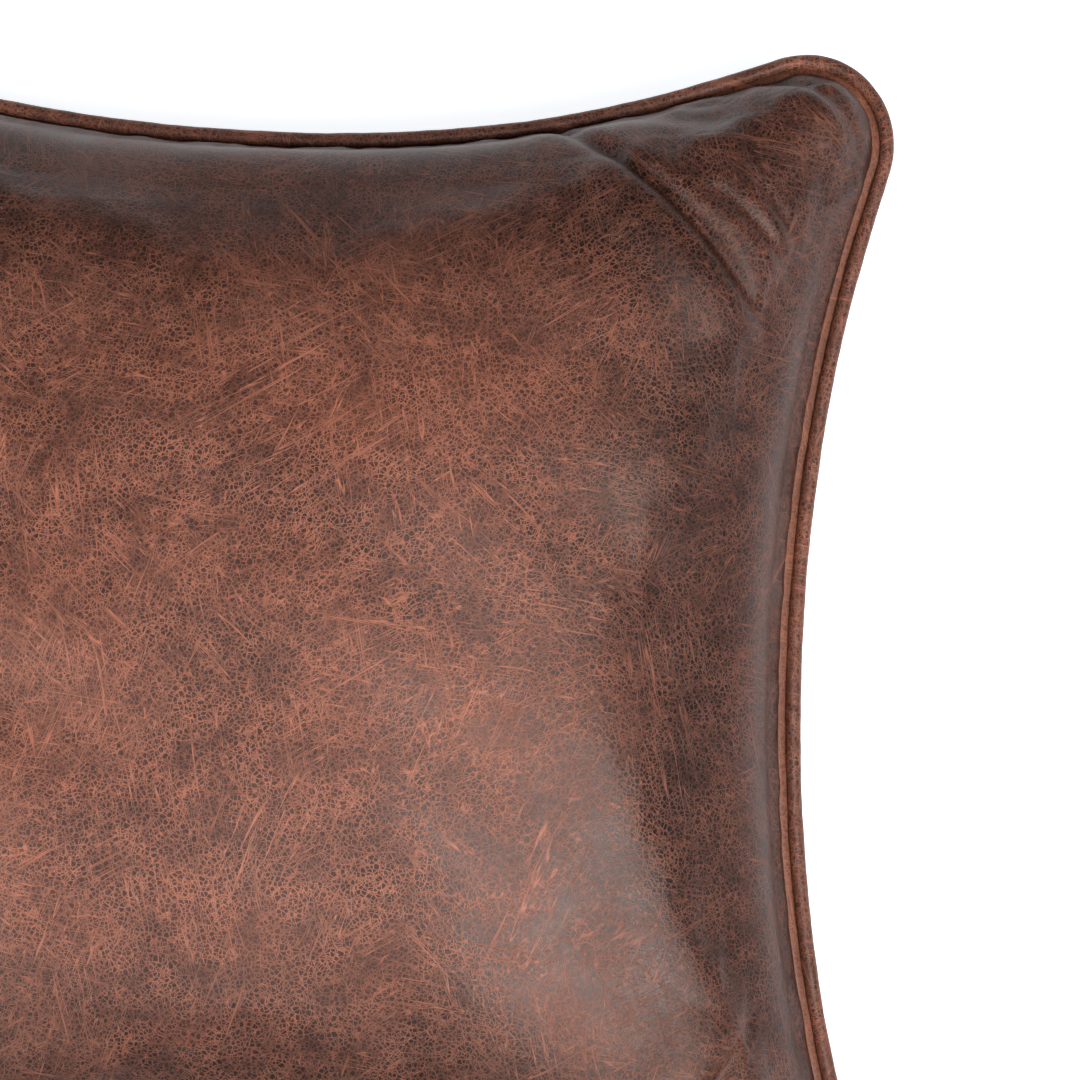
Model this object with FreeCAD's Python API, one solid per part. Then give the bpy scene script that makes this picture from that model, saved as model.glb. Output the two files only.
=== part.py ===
"""Leather throw pillow, lying on its back: a piped, zipped cover with a filled insert inside.

Frame: origin on the resting surface, under the pillow's centre. +Z is the way the front faces,
+Y is the pillow's top edge and the zip runs along the -Y edge. All lengths are in millimetres.

The four sides are alike. Each is a hollow arc that runs through a short straight flank into a
round corner. Places across the edge are given as an offset, inward from the outer edge of the
welt, and a drop, down from the seam plane.
"""
import FreeCAD
import Part
import math
import os

# Plan outline, measured to the outer edge of the welt
HALF_SPAN = 254.0              # centre to corner line: a 508 mm (20 in) cover
SIDE_INSET = 37.5              # how far the filling pulls in the middle of a side
CORNER_RADIUS = 38.0
FLANK_ANGLE = math.radians(17.5)   # slope of the straight run into each corner

# Height
SEAM_HEIGHT = 78.0             # seam plane above the resting surface
DOME_HEIGHT = 86.0             # each panel's crown, out from the seam plane
DOME_FULLNESS = 2.4            # exponent of the superellipse across the middle
FRONT_CROWN = 0.995            # share of the dome's height where the front is closed flat
DOME_LEVELS = 8                # bands between a dome's sections
POINTS_PER_ARC = 6             # points on each corner and each hollow side of a section
DOME_SETBACK = 0.3             # leaves the welt its full round

# Cover
LEATHER = 1.2
WELT_LEATHER = 0.8
CORD_DIAMETER = 5.0
SEAM_ALLOWANCE = 10.0
THREAD = 0.5
THREAD_CLEARANCE = 0.1
THREAD_FROM_SEAM = 1.6

# Insert, a sewn case with loose filling
CASE_FABRIC = 0.5
INSERT_INSET = 18.0            # offset of the case's edge, clear of the cover's seam allowance
CASE_GAP = 4.5                 # between the cover's inside and the case, at the crown
FILL_GAP = 0.4                 # between the case's inside and the filling, at the crown
FILL_INSET = 1.0
CASE_THREAD_OUT = 0.75         # centre of the insert's seam thread, out from the case's edge

# Zip, a size 5 coil zip that follows the hollow arc of the -Y side
ZIP_HALF_ANGLE = math.radians(14.5)    # half the opening, seen from the side's centre
CHAIN_DROP = 9.0               # centre of the chain, below the seam plane
COIL_WIDTH = 2.5
COIL_DEPTH = 2.2
COIL_CHAMFER = 0.5
CHAIN_GAP = 1.2                # slot between the coils, where the slider's web runs
TAPE = 0.5
TAPE_OFFSET = 10.7             # outer face of the tape
TAPE_TUCK = 0.05               # between the welt's flange and the tape folded under it
TAPE_END_GAP = math.radians(0.1)
TAPE_LOWER_EDGE = 18.7
HEM_OFFSET = 9.4
HEM_TOP = 14.3
HEM_FOOT = 18.8
HEM_FOOT_DEPTH = 4.6           # how far the hem's foot reaches in, into the back panel
TOPSTITCH_DROP = 16.5
STOP_LENGTH = 3.1
STOP_DEPTH = 2.4
STOP_MARGIN = 0.2              # how far a stop overhangs the coils' outer edges
STOP_GAP = math.radians(0.05)
COIL_HALF_ANGLE = math.radians(13.7)

# Slider and pull tab, made at the middle of the side and turned to the closed end
RUNNING_GAP = 0.3
SLIDER_LENGTH = 11.0
SLIDER_TAIL = 0.8              # width of the tail as a share of the mouth
SLIDER_PLATE = 1.1
SLIDER_BACK_PLATE = 1.0
SLIDER_RIM = 0.7
WEB_THICKNESS = 0.6
WEB_LENGTH = 4.5
SLIDER_END_GAP = 0.5           # slider to top stops, zip closed
PIVOT_OFFSET = 5.4
BAR_DIAMETER = 1.2
CROWN_LENGTH = 6.4
CROWN_WIDTH = 1.6
CROWN_WALL = 0.9
TAB_LENGTH = 30.0
TAB_NECK = 5.6
TAB_WIDTH = 7.0
TAB_THICKNESS = 1.2
TAB_SLOT_LENGTH = 4.4
TAB_SLOT_WIDTH = 3.2
TAB_HOLE_DIAMETER = 2.6
TAB_HOLE_FROM_TIP = 4.0

# Worked out from the driving dimensions
SINE = math.sin(FLANK_ANGLE)
COSINE = math.cos(FLANK_ANGLE)
MID_SIDE = HALF_SPAN - SIDE_INSET
CORNER_CENTRE = HALF_SPAN - CORNER_RADIUS
SIDE_RADIUS = (MID_SIDE * COSINE - CORNER_CENTRE * (COSINE - SINE) - CORNER_RADIUS) / (1 - COSINE)
FLANK_LENGTH = (CORNER_CENTRE - (CORNER_RADIUS + SIDE_RADIUS) * SINE) / COSINE
WELT_RADIUS = CORD_DIAMETER / 2 + WELT_LEATHER
SEAM_OFFSET = 2 * WELT_RADIUS
FLANGE_EDGE = SEAM_OFFSET + SEAM_ALLOWANCE
PANEL_TOP = WELT_LEATHER + LEATHER             # far face of a panel's seam allowance
STITCH_OFFSET = SEAM_OFFSET + THREAD_FROM_SEAM
COIL_OFFSET = TAPE_OFFSET - COIL_DEPTH
COIL_EDGE = CHAIN_GAP / 2 + COIL_WIDTH
ZIP_RADIUS = SIDE_RADIUS + TAPE_OFFSET
HALF_SLIDER_ANGLE = (SLIDER_LENGTH / 2 + SLIDER_END_GAP) / ZIP_RADIUS
CLOSED_ANGLE = COIL_HALF_ANGLE + STOP_GAP - HALF_SLIDER_ANGLE

UP = FreeCAD.Vector(0, 0, 1)
ORIGIN = FreeCAD.Vector(0, 0, 0)
FAR_CENTRE = FreeCAD.Vector(0, MID_SIDE + SIDE_RADIUS, 0)
ZIP_CENTRE = FreeCAD.Vector(0, -MID_SIDE - SIDE_RADIUS, 0)


def turned(shape, centre, angle):
    """A copy of shape, turned about the upright line through centre, by radians."""
    copy = shape.copy()
    copy.rotate(centre, UP, math.degrees(angle))
    return copy


def face(points):
    """A flat face with straight edges through the points."""
    return Part.Face(Part.makePolygon(points + points[:1]))


# The outline and what is swept along it

def corner_sweep():
    """How far each corner's arc turns."""
    return math.pi / 2 + 2 * FLANK_ANGLE


def side_point(offset, angle):
    """A point of the +Y side's hollow arc, at an angle from the side's middle."""
    radius = SIDE_RADIUS + offset
    return radius * math.sin(angle), FAR_CENTRE.y - radius * math.cos(angle)


def corner_point(offset, turn):
    """A point of the +X +Y corner's arc, after a clockwise turn from its +Y end."""
    radius = CORNER_RADIUS - offset
    angle = math.pi / 2 + FLANK_ANGLE - turn
    return CORNER_CENTRE + radius * math.cos(angle), CORNER_CENTRE + radius * math.sin(angle)


def side_edges(offset, height):
    """The +Y side's hollow arc, its straight flank and the corner after it."""
    def at(point):
        return FreeCAD.Vector(point[0], point[1], height)
    arc = [at(side_point(offset, angle)) for angle in (-FLANK_ANGLE, 0.0, FLANK_ANGLE)]
    corner = [at(corner_point(offset, corner_sweep() * share)) for share in (0.0, 0.5, 1.0)]
    next_side = turned(Part.Vertex(arc[0]), ORIGIN, -math.pi / 2).Point
    return [
        Part.Arc(*arc).toShape(),
        Part.LineSegment(arc[2], corner[0]).toShape(),
        Part.Arc(*corner).toShape(),
        Part.LineSegment(corner[2], next_side).toShape(),
    ]


def outline_disc(offset, low, high):
    """A flat plate of the outline's shape, between two heights."""
    edges = []
    for side in range(4):
        edges += [turned(edge, ORIGIN, -side * math.pi / 2) for edge in side_edges(offset, low)]
    return Part.Face(Part.Wire(edges)).extrude(FreeCAD.Vector(0, 0, high - low))


def swept_side(profile):
    """The profile, drawn across the middle of the +Y side, swept along that side and a corner."""
    start = turned(profile, FAR_CENTRE, -FLANK_ANGLE)
    end = turned(profile, FAR_CENTRE, FLANK_ANGLE)
    outward = FreeCAD.Vector(FLANK_LENGTH * COSINE, FLANK_LENGTH * SINE, 0)
    at_corner = end.copy()
    at_corner.translate(outward)
    corner = FreeCAD.Vector(CORNER_CENTRE, CORNER_CENTRE, 0)
    return [
        start.extrude(FreeCAD.Vector(-outward.x, outward.y, 0)),
        start.revolve(FAR_CENTRE, UP, math.degrees(2 * FLANK_ANGLE)),
        end.extrude(outward),
        at_corner.revolve(corner, UP, -math.degrees(corner_sweep())),
    ]


def ring(profile):
    """The profile swept once round the whole edge."""
    runs = []
    for side in range(4):
        runs += [turned(run, ORIGIN, -side * math.pi / 2) for run in swept_side(profile)]
    return runs[0].fuse(runs[1:]).removeSplitter()


def edge_point(offset, drop):
    """A point across the middle of the +Y side."""
    return FreeCAD.Vector(0, MID_SIDE - offset, SEAM_HEIGHT - drop)


def edge_box(offset_from, offset_to, drop_from, drop_to):
    """A rectangle across the middle of the +Y side."""
    return face([
        edge_point(offset_from, drop_from),
        edge_point(offset_to, drop_from),
        edge_point(offset_to, drop_to),
        edge_point(offset_from, drop_to),
    ])


def edge_circle(offset, drop, radius):
    """A round face across the middle of the +Y side."""
    circle = Part.Circle(edge_point(offset, drop), FreeCAD.Vector(1, 0, 0), radius)
    return Part.Face(Part.Wire(circle.toShape()))


# The crowned panels

def outline_points(offset):
    """Points round the outline, close together in the corners."""
    quarter = []
    for step in range(POINTS_PER_ARC):
        share = step / (POINTS_PER_ARC - 1)
        quarter.append(side_point(offset, FLANK_ANGLE * (2 * share - 1)))
    for step in range(POINTS_PER_ARC):
        share = step / (POINTS_PER_ARC - 1)
        quarter.append(corner_point(offset, corner_sweep() * share))
    points = []
    for side in range(4):
        cosine = round(math.cos(side * math.pi / 2))
        sine = round(math.sin(side * math.pi / 2))
        points += [(x * cosine + y * sine, y * cosine - x * sine) for x, y in quarter]
    return points


def chord_parameters(points):
    """Each point's distance along the outline, and the whole length as the last value."""
    parameters = [0.0]
    for here, there in zip(points, points[1:] + points[:1]):
        parameters.append(parameters[-1] + math.dist(here, there))
    return parameters


def dome_radius(radius, middle, corner, level):
    """How far out a dome's section stands at a level from 0, the seam, to 1, the crown.

    The sides stay upright near the seam, the corners lean in from the seam on, and both draw
    in to a round crown.
    """
    cornerness = (radius - middle) / (corner - middle)
    drawn_in = (radius - middle) * level ** (3 - 2 * cornerness)
    shoulder = (1 - level ** DOME_FULLNESS) ** (1 / DOME_FULLNESS)
    return shoulder * (radius - drawn_in)


def dome(offset, dome_height, start, end, side):
    """A solid dome between two distances from the seam plane, on the +1 or -1 side of it."""
    points = outline_points(offset)
    parameters = chord_parameters(points)
    middle = MID_SIDE - offset
    corner = math.hypot(*corner_point(offset, corner_sweep() / 2))
    wires = []
    for step in range(DOME_LEVELS + 1):
        distance = start + (end - start) * math.sin(math.pi / 2 * step / DOME_LEVELS)
        section = []
        for x, y in points:
            radius = math.hypot(x, y)
            scale = dome_radius(radius, middle, corner, distance / dome_height) / radius
            section.append(FreeCAD.Vector(x * scale, y * scale, SEAM_HEIGHT + side * distance))
        curve = Part.BSplineCurve()
        curve.interpolate(Points=section, PeriodicFlag=True, Parameters=parameters)
        wires.append(Part.Wire(curve.toShape()))
    return Part.makeLoft(wires, True, False)


def layer_dome(inset, shrink, start, side):
    """A dome at an offset, shrink lower than the cover's outside and clear of its crown."""
    height = DOME_HEIGHT - shrink
    end = height * FRONT_CROWN if side > 0 else SEAM_HEIGHT - shrink
    return dome(inset, height, start, end, side)


def plain_panel(side):
    """A crowned leather shell with its seam allowance turned in."""
    edge = SEAM_OFFSET + DOME_SETBACK
    outside = layer_dome(edge, 0.0, WELT_LEATHER, side)
    inside = layer_dome(edge + LEATHER, LEATHER, PANEL_TOP, side)
    faces = sorted([SEAM_HEIGHT + side * WELT_LEATHER, SEAM_HEIGHT + side * PANEL_TOP])
    flange = outline_disc(SEAM_OFFSET, faces[0], faces[1])
    opening = outline_disc(FLANGE_EDGE, faces[0] - LEATHER, faces[1] + LEATHER)
    groove = ring(stitch_profile(side, THREAD_CLEARANCE))
    return outside.fuse(flange).cut([inside, opening, groove])


def stitch_profile(side, clearance):
    """The seam's thread, sunk in the far face of a panel's seam allowance."""
    half = THREAD / 2 + clearance
    drop = -side * (PANEL_TOP - THREAD / 2)
    return edge_box(STITCH_OFFSET - half, STITCH_OFFSET + half, drop - half, drop + half)


# What follows the zip

def zip_arc(profile, low_angle, high_angle):
    """A profile drawn on the +Y side, swept along the -Y side between two angles.

    Angles run from the side's middle towards +X.
    """
    across = turned(profile, ORIGIN, math.pi)
    start = turned(across, ZIP_CENTRE, -low_angle)
    return start.revolve(ZIP_CENTRE, UP, -math.degrees(high_angle - low_angle))


def placed_on_zip(shape, angle):
    """A shape made at the middle of the -Y side, moved along it to an angle."""
    return turned(shape, ZIP_CENTRE, -angle)


def zip_window():
    """What the back panel leaves open for the zip, seam allowance included."""
    cutter = edge_box(WELT_RADIUS, FLANGE_EDGE + THREAD, WELT_LEATHER - THREAD, HEM_FOOT)
    return zip_arc(cutter, -ZIP_HALF_ANGLE, ZIP_HALF_ANGLE)


def zip_hem():
    """The back panel's hem beside the zip, with a foot that joins the panel."""
    plate = edge_box(HEM_OFFSET, HEM_OFFSET + LEATHER, HEM_TOP, HEM_FOOT)
    foot = edge_box(HEM_OFFSET, HEM_OFFSET + HEM_FOOT_DEPTH, HEM_FOOT, HEM_FOOT + LEATHER)
    profile = plate.fuse(foot).removeSplitter().Faces[0]
    return zip_arc(profile, -ZIP_HALF_ANGLE, ZIP_HALF_ANGLE)


def tape_span():
    """The angles between which the tapes lie."""
    return -ZIP_HALF_ANGLE + TAPE_END_GAP, ZIP_HALF_ANGLE - TAPE_END_GAP


def front_tape():
    """The tape above the chain, turned in under the welt's flange."""
    top = WELT_LEATHER + TAPE_TUCK
    bottom = CHAIN_DROP - CHAIN_GAP / 2
    upright = edge_box(TAPE_OFFSET, TAPE_OFFSET + TAPE, top, bottom)
    tucked = edge_box(TAPE_OFFSET, FLANGE_EDGE, top, top + TAPE)
    profile = upright.fuse(tucked).removeSplitter().Faces[0]
    return zip_arc(profile, *tape_span())


def back_tape():
    """The tape below the chain, behind the hem."""
    top = CHAIN_DROP + CHAIN_GAP / 2
    profile = edge_box(TAPE_OFFSET, TAPE_OFFSET + TAPE, top, TAPE_LOWER_EDGE)
    return zip_arc(profile, *tape_span())


def coil(side):
    """One half of the chain on its tape, above the centre for +1 and below it for -1."""
    near = CHAIN_DROP - side * CHAIN_GAP / 2
    far = CHAIN_DROP - side * COIL_EDGE
    inner_near = near - side * COIL_CHAMFER
    inner_far = far + side * COIL_CHAMFER
    profile = face([
        edge_point(TAPE_OFFSET, near),
        edge_point(COIL_OFFSET + COIL_CHAMFER, near),
        edge_point(COIL_OFFSET, inner_near),
        edge_point(COIL_OFFSET, inner_far),
        edge_point(COIL_OFFSET + COIL_CHAMFER, far),
        edge_point(TAPE_OFFSET, far),
    ])
    return zip_arc(profile, -COIL_HALF_ANGLE, COIL_HALF_ANGLE)


def stop(drop_from, drop_to, end):
    """A metal stop clamped on the tape, at the +1 or -1 end of the chain."""
    profile = edge_box(TAPE_OFFSET - STOP_DEPTH, TAPE_OFFSET, drop_from, drop_to)
    near = COIL_HALF_ANGLE + STOP_GAP
    far = near + STOP_LENGTH / ZIP_RADIUS
    return zip_arc(profile, *sorted([end * near, end * far]))


def top_stops():
    """Two stops at the closed end, one on each tape."""
    edge = COIL_EDGE + STOP_MARGIN
    gap = CHAIN_GAP / 2
    upper = stop(CHAIN_DROP - edge, CHAIN_DROP - gap, 1)
    lower = stop(CHAIN_DROP + gap, CHAIN_DROP + edge, 1)
    return Part.makeCompound([upper, lower])


def bottom_stop():
    """One stop across both tapes at the open end."""
    edge = COIL_EDGE + STOP_MARGIN
    return stop(CHAIN_DROP - edge, CHAIN_DROP + edge, -1)


def topstitching():
    """The thread line on the hem and its bobbin line behind the tape."""
    low = TOPSTITCH_DROP - THREAD / 2
    high = TOPSTITCH_DROP + THREAD / 2
    needle = edge_box(HEM_OFFSET - THREAD, HEM_OFFSET, low, high)
    bobbin = edge_box(TAPE_OFFSET + TAPE, TAPE_OFFSET + TAPE + THREAD, low, high)
    return Part.makeCompound([zip_arc(line, *tape_span()) for line in (needle, bobbin)])


# Slider and pull tab, in their own frame at the middle of the -Y side

def slider_point(along, offset, above):
    """A point by its place along +X, its offset and its height above the chain's centre."""
    return FreeCAD.Vector(along, offset - MID_SIDE, SEAM_HEIGHT - CHAIN_DROP + above)


def slider_block(along, offsets, heights):
    """A block between two places along the zip, two offsets and two heights."""
    size = FreeCAD.Vector(along[1] - along[0], offsets[1] - offsets[0], heights[1] - heights[0])
    corner = slider_point(along[0], offsets[0], heights[0])
    return Part.makeBox(size.x, size.y, size.z, corner)


def slider_plate(offset, thickness):
    """A plate with a wide mouth, towards +X, and a narrower tail."""
    half = SLIDER_LENGTH / 2
    mouth = COIL_EDGE + RUNNING_GAP + SLIDER_RIM
    tail = mouth * SLIDER_TAIL
    plate = face([
        slider_point(-half, offset, -tail),
        slider_point(0.0, offset, -mouth),
        slider_point(half, offset, -mouth),
        slider_point(half, offset, mouth),
        slider_point(0.0, offset, mouth),
        slider_point(-half, offset, tail),
    ]).extrude(FreeCAD.Vector(0, thickness, 0))
    upright = [edge for edge in plate.Edges
               if abs(edge.Vertexes[0].Y - edge.Vertexes[1].Y) > thickness / 2]
    return plate.makeFillet(SLIDER_RIM, upright)


def slider_crown(outer_face):
    """The bridge that holds the pull tab's bar."""
    half = CROWN_LENGTH / 2
    low = CROWN_WIDTH / 2
    rise = PIVOT_OFFSET - CROWN_WALL
    bridge = slider_block((-half, half), (rise - CROWN_WALL, outer_face), (-low, low))
    outer = [edge for edge in bridge.Edges
             if edge.BoundBox.YMax < rise - MID_SIDE and edge.BoundBox.ZLength > CROWN_WALL]
    bridge = bridge.makeFillet(CROWN_WALL, outer)
    inner = half - CROWN_WALL
    window = slider_block((-inner, inner), (rise, outer_face), (-CROWN_WIDTH, CROWN_WIDTH))
    return bridge.cut(window)


def slider():
    """Two plates joined by a web at the mouth, with rims beside the coils and a crown outside."""
    outer_face = COIL_OFFSET - RUNNING_GAP - SLIDER_PLATE
    inside = COIL_OFFSET - RUNNING_GAP
    behind = TAPE_OFFSET + TAPE + RUNNING_GAP
    half = SLIDER_LENGTH / 2
    rim_near = COIL_EDGE + RUNNING_GAP
    rim_reach = TAPE_OFFSET - RUNNING_GAP
    parts = [
        slider_plate(behind, SLIDER_BACK_PLATE),
        slider_block((half - WEB_LENGTH, half), (inside, behind),
                     (-WEB_THICKNESS / 2, WEB_THICKNESS / 2)),
        slider_crown(outer_face),
    ]
    for side in (1, -1):
        heights = sorted([side * rim_near, side * (rim_near + SLIDER_RIM)])
        parts.append(slider_block((0.0, half - SLIDER_RIM), (inside, rim_reach), heights))
    body = slider_plate(outer_face, SLIDER_PLATE).fuse(parts).removeSplitter()
    return placed_on_zip(body, CLOSED_ANGLE)


def pull_tab():
    """A flat tab that lies back along the chain, with a round bar that turns in the crown."""
    face_offset = PIVOT_OFFSET - TAB_THICKNESS / 2
    round_radius = TAB_WIDTH / 2
    straight = TAB_LENGTH - round_radius
    outline = Part.Wire([
        Part.LineSegment(slider_point(0.0, face_offset, TAB_NECK / 2),
                         slider_point(-straight, face_offset, round_radius)).toShape(),
        Part.Arc(slider_point(-straight, face_offset, round_radius),
                 slider_point(-TAB_LENGTH, face_offset, 0.0),
                 slider_point(-straight, face_offset, -round_radius)).toShape(),
        Part.LineSegment(slider_point(-straight, face_offset, -round_radius),
                         slider_point(0.0, face_offset, -TAB_NECK / 2)).toShape(),
        Part.LineSegment(slider_point(0.0, face_offset, -TAB_NECK / 2),
                         slider_point(0.0, face_offset, TAB_NECK / 2)).toShape(),
    ])
    plate = Part.Face(outline).extrude(FreeCAD.Vector(0, TAB_THICKNESS, 0))
    bar = Part.makeCylinder(BAR_DIAMETER / 2, TAB_NECK,
                            slider_point(0.0, PIVOT_OFFSET, -TAB_NECK / 2), UP)
    slot_half = TAB_SLOT_WIDTH / 2
    slot = slider_block((-TAB_SLOT_LENGTH, BAR_DIAMETER), (face_offset, face_offset + TAB_THICKNESS),
                        (-slot_half, slot_half))
    hole = Part.makeCylinder(TAB_HOLE_DIAMETER / 2, TAB_THICKNESS,
                             slider_point(TAB_HOLE_FROM_TIP - TAB_LENGTH, face_offset, 0.0),
                             FreeCAD.Vector(0, 1, 0))
    return placed_on_zip(plate.cut([slot, hole]).fuse(bar), CLOSED_ANGLE)


# Sub-parts

def front_panel():
    """The crowned front of the cover."""
    return plain_panel(1)


def back_panel():
    """The back of the cover, flat where the pillow rests and open at the zip."""
    return plain_panel(-1).cut(zip_window()).fuse(zip_hem())


def welt_cover():
    """Leather folded round the cord, with its two plies sewn into the seam."""
    tube = edge_circle(WELT_RADIUS, 0.0, WELT_RADIUS)
    plies = edge_box(WELT_RADIUS, FLANGE_EDGE, -WELT_LEATHER, WELT_LEATHER)
    core = edge_circle(WELT_RADIUS, 0.0, CORD_DIAMETER / 2)
    return ring(tube.fuse(plies).removeSplitter().cut(core).Faces[0])


def welt_cord():
    """The cord inside the welt."""
    return ring(edge_circle(WELT_RADIUS, 0.0, CORD_DIAMETER / 2))


def seam_stitching():
    """The seam's two thread lines; along the zip the lower one passes under the tape."""
    front = ring(stitch_profile(1, 0.0))
    back = ring(stitch_profile(-1, 0.0))
    beside_zip = edge_box(WELT_RADIUS, FLANGE_EDGE, WELT_LEATHER, PANEL_TOP + THREAD)
    margin = ZIP_HALF_ANGLE + TAPE_END_GAP
    back = back.cut(zip_arc(beside_zip, -margin, margin))
    under = WELT_LEATHER + TAPE_TUCK + TAPE
    middle = (TAPE_OFFSET + TAPE + FLANGE_EDGE) / 2
    line = edge_box(middle, middle + THREAD, under, under + THREAD)
    return Part.makeCompound([front, back, zip_arc(line, *tape_span())])


def insert_case(side):
    """Half of the insert's sewn case."""
    outside_shrink = LEATHER + CASE_GAP
    outside = layer_dome(INSERT_INSET, outside_shrink, 0.0, side)
    inside = layer_dome(INSERT_INSET + CASE_FABRIC, outside_shrink + CASE_FABRIC, 0.0, side)
    return outside.cut(inside)


def insert_fill():
    """The loose filling, as one closed body."""
    inset = INSERT_INSET + CASE_FABRIC + FILL_INSET
    shrink = LEATHER + CASE_GAP + CASE_FABRIC + FILL_GAP
    halves = [layer_dome(inset, shrink, 0.0, side) for side in (1, -1)]
    return halves[0].fuse(halves[1])


def insert_seam_stitching():
    """The thread that closes the insert's case round its edge."""
    return ring(edge_circle(INSERT_INSET - CASE_THREAD_OUT, 0.0, THREAD / 2))


def sub_parts():
    """Every sub-part, by name."""
    return {
        "front_panel": front_panel(),
        "back_panel": back_panel(),
        "welt_cover": welt_cover(),
        "welt_cord": welt_cord(),
        "seam_stitching": seam_stitching(),
        "zip_tape_front": front_tape(),
        "zip_tape_back": back_tape(),
        "zip_coil_front": coil(1),
        "zip_coil_back": coil(-1),
        "zip_top_stops": top_stops(),
        "zip_bottom_stop": bottom_stop(),
        "zip_topstitching": topstitching(),
        "zip_slider": slider(),
        "zip_pull_tab": pull_tab(),
        "insert_case_front": insert_case(1),
        "insert_case_back": insert_case(-1),
        "insert_seam_stitching": insert_seam_stitching(),
        "insert_fill": insert_fill(),
    }


os.makedirs("parts", exist_ok=True)
for name, shape in sub_parts().items():
    shape.exportStep(f"parts/{name}.step")
    print(name, "valid" if shape.isValid() else "INVALID", len(shape.Solids), "solids",
          round(shape.Volume / 1000, 2), "cm3")
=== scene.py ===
"""Looks of the leather throw pillow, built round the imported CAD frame. All lengths in metres.

The pillow lies on its back: +Z is the way the front faces, +Y its top edge, and the zip runs
along the -Y edge. As in the CAD, a place near the edge has an offset, inward from the outer
edge of the welt.
"""
import bpy
import math
import numpy as np
from mathutils import Matrix, Vector
from mathutils.kdtree import KDTree


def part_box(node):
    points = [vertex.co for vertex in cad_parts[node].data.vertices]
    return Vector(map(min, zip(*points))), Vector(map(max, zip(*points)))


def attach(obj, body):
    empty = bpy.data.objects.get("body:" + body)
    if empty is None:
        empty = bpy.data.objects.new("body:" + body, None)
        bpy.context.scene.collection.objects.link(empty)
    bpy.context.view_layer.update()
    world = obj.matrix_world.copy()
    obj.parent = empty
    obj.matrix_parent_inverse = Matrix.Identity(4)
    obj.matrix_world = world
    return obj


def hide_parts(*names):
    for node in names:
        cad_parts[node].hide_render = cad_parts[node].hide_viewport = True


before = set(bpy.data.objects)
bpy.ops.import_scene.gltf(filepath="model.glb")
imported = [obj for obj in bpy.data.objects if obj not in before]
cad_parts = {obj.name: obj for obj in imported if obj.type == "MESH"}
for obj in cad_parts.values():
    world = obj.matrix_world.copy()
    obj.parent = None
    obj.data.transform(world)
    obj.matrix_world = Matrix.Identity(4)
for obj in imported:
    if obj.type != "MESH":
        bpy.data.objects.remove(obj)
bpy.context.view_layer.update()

MM = 0.001

# Sizes from the frame
WELT_LOW, WELT_HIGH = (Vector(corner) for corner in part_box("welt_cover"))
PANEL_TOP = Vector(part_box("front_panel")[1]).z
HEM_LOW, HEM_HIGH = (Vector(corner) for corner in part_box("zip_topstitching"))
COIL_FOOT = Vector(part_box("zip_coil_back")[0]).z
COIL_TOP = Vector(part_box("zip_coil_front")[1]).z
SEAM_HEIGHT = (WELT_LOW.z + WELT_HIGH.z) / 2
WELT_RADIUS = (WELT_HIGH.z - WELT_LOW.z) / 2
CROWN = PANEL_TOP - SEAM_HEIGHT
CHAIN_HEIGHT = (COIL_FOOT + COIL_TOP) / 2
HEM_STITCH_HEIGHT = (HEM_LOW.z + HEM_HIGH.z) / 2

# The outline's shape, as in the CAD
HALF_SPAN = 254 * MM
SIDE_INSET = 37.5 * MM
CORNER_RADIUS = 38 * MM
FLANK = math.radians(17.5)
MID_SIDE = HALF_SPAN - SIDE_INSET
CORNER_CENTRE = HALF_SPAN - CORNER_RADIUS
SIDE_RADIUS = ((MID_SIDE * math.cos(FLANK) - CORNER_CENTRE * (math.cos(FLANK) - math.sin(FLANK))
                - CORNER_RADIUS) / (1 - math.cos(FLANK)))
FAR = MID_SIDE + SIDE_RADIUS       # from the pillow's centre to a side arc's centre

# The filling's drift: how far the +X and +Y sides move out, and how it changes along them
SIDE_DRIFT = 3.2 * MM
SIDE_DRIFT_MEAN = 0.4 * MM
SIDE_DRIFT_PEAK = 8 * MM
SIDE_DRIFT_RUN = 235 * MM
TOP_DRIFT = 1.6 * MM
TOP_DRIFT_PEAK = -40 * MM
TOP_DRIFT_RUN = 175 * MM

# The leather
PANEL_OFFSET = 9.2 * MM        # where a panel comes out of the seam, beside the groove
PANEL_GRID = 240               # cells across a panel
FULLNESS = 0.36                # exponent of the crown across the middle
LEATHER = 1.2 * MM
PLY = 0.8 * MM
PLY_REACH = 9.5 * MM           # how far the welt's plies reach in, from the roll's middle
THREAD_OFFSET = 12.5 * MM
THREAD_DROP = 1.3 * MM
THREAD_HALF = 0.25 * MM
FLOOR_GAP = 0.3 * MM
REST_BLEND = 6 * MM            # how softly the back turns flat where it rests

# Bulge over the welt at each kind of edge: the front's top and bottom, the back's top, the sides
FRONT_TOP_BULGE = 4.2 * MM
BACK_TOP_BULGE = 2.0 * MM
FRONT_BOTTOM_BULGE = 2.5 * MM
SIDE_BULGE = 0.6 * MM
BULGE_HEIGHT = 46 * MM         # the bulge is gone this far from the seam
EDGE_START, EDGE_END = 150 * MM, 205 * MM    # where the body turns into an edge
CORNER_START = 215 * MM        # where an edge has turned into a corner

# The cloth simulation
SKIN_STEP = 4                  # grid cells to one cell of the simulated skin
SKIN_VOXEL = 5.5 * MM
SWELL_FRAMES = 20
SWELL_CAP = 4 * MM

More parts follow.
